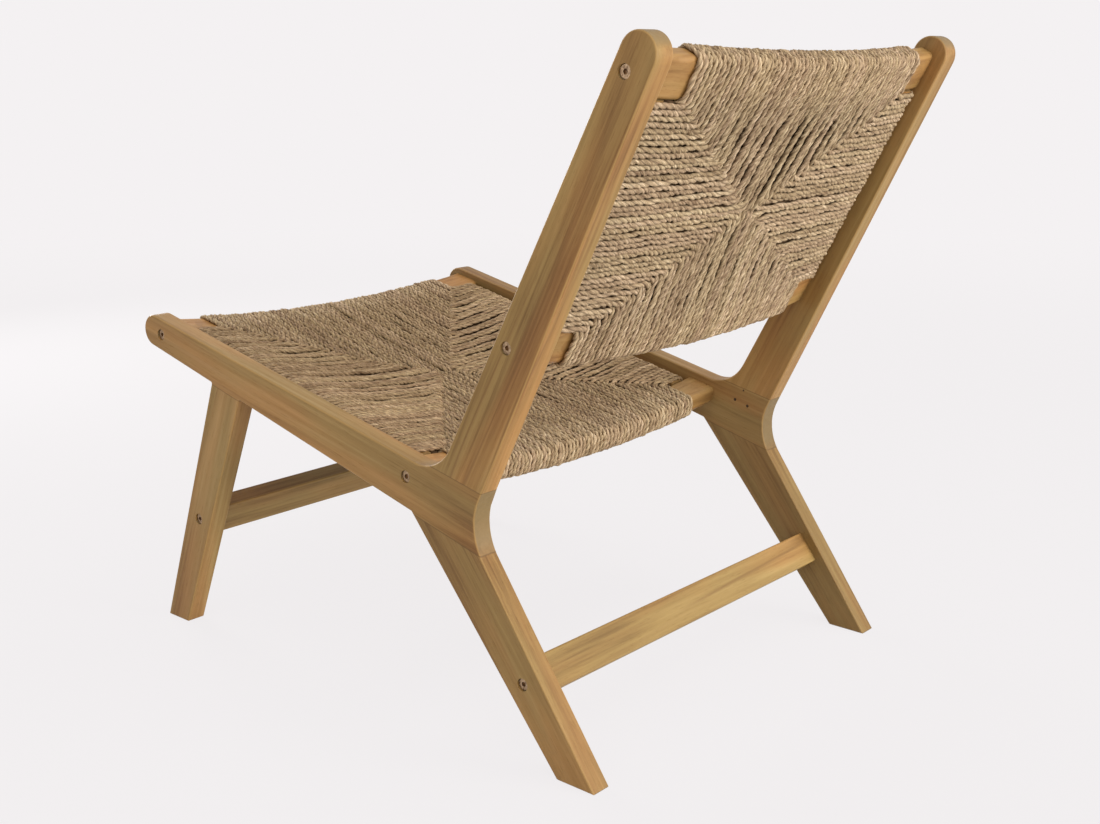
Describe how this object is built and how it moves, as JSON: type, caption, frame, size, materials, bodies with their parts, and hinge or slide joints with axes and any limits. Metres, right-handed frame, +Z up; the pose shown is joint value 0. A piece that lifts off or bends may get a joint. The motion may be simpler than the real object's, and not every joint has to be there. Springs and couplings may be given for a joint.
{
  "type": "woven lounge chair",
  "caption": "Low armless garden lounge chair: raked timber side frames bolted to cross rails, with rope-woven seat and back.",
  "frame": {"origin": "on the floor, in the middle of the chair's plan", "axes": "+Z up, the chair faces -Y, +X to the sitter's left"},
  "size_m": [0.57, 0.8098, 0.743],
  "materials": {
    "frame_timber": "oiled hardwood, satin",
    "rail_timber": "oiled hardwood, satin, paler stock",
    "rope": "twisted plant-fibre rope, matt",
    "bolt_bronze": "antique bronze plating",
    "insert_brass": "plain turned brass",
    "dowel_wood": "plain turned beech",
    "tack_steel": "plain steel"
  },
  "bodies": {
    "root": {"left_seat_rail": "frame_timber", "right_seat_rail": "frame_timber", "left_back_post": "frame_timber", "right_back_post": "frame_timber", "left_rear_leg": "frame_timber", "right_rear_leg": "frame_timber", "left_front_leg": "frame_timber", "right_front_leg": "frame_timber", "seat_front_rail": "rail_timber", "seat_rear_rail": "rail_timber", "back_bottom_rail": "rail_timber", "back_top_rail": "rail_timber", "left_seat_stick": "rail_timber", "right_seat_stick": "rail_timber", "left_back_stick": "rail_timber", "right_back_stick": "rail_timber", "front_stretcher": "rail_timber", "rear_stretcher": "rail_timber", "woven_seat": "rope", "woven_back": "rope", "frame_bolts": "bolt_bronze", "threaded_inserts": "insert_brass", "locating_dowels": "dowel_wood", "post_dowels": "dowel_wood", "rear_leg_dowels": "dowel_wood", "front_leg_dowels": "dowel_wood", "rope_tacks": "tack_steel"}
  },
  "joints": []
}
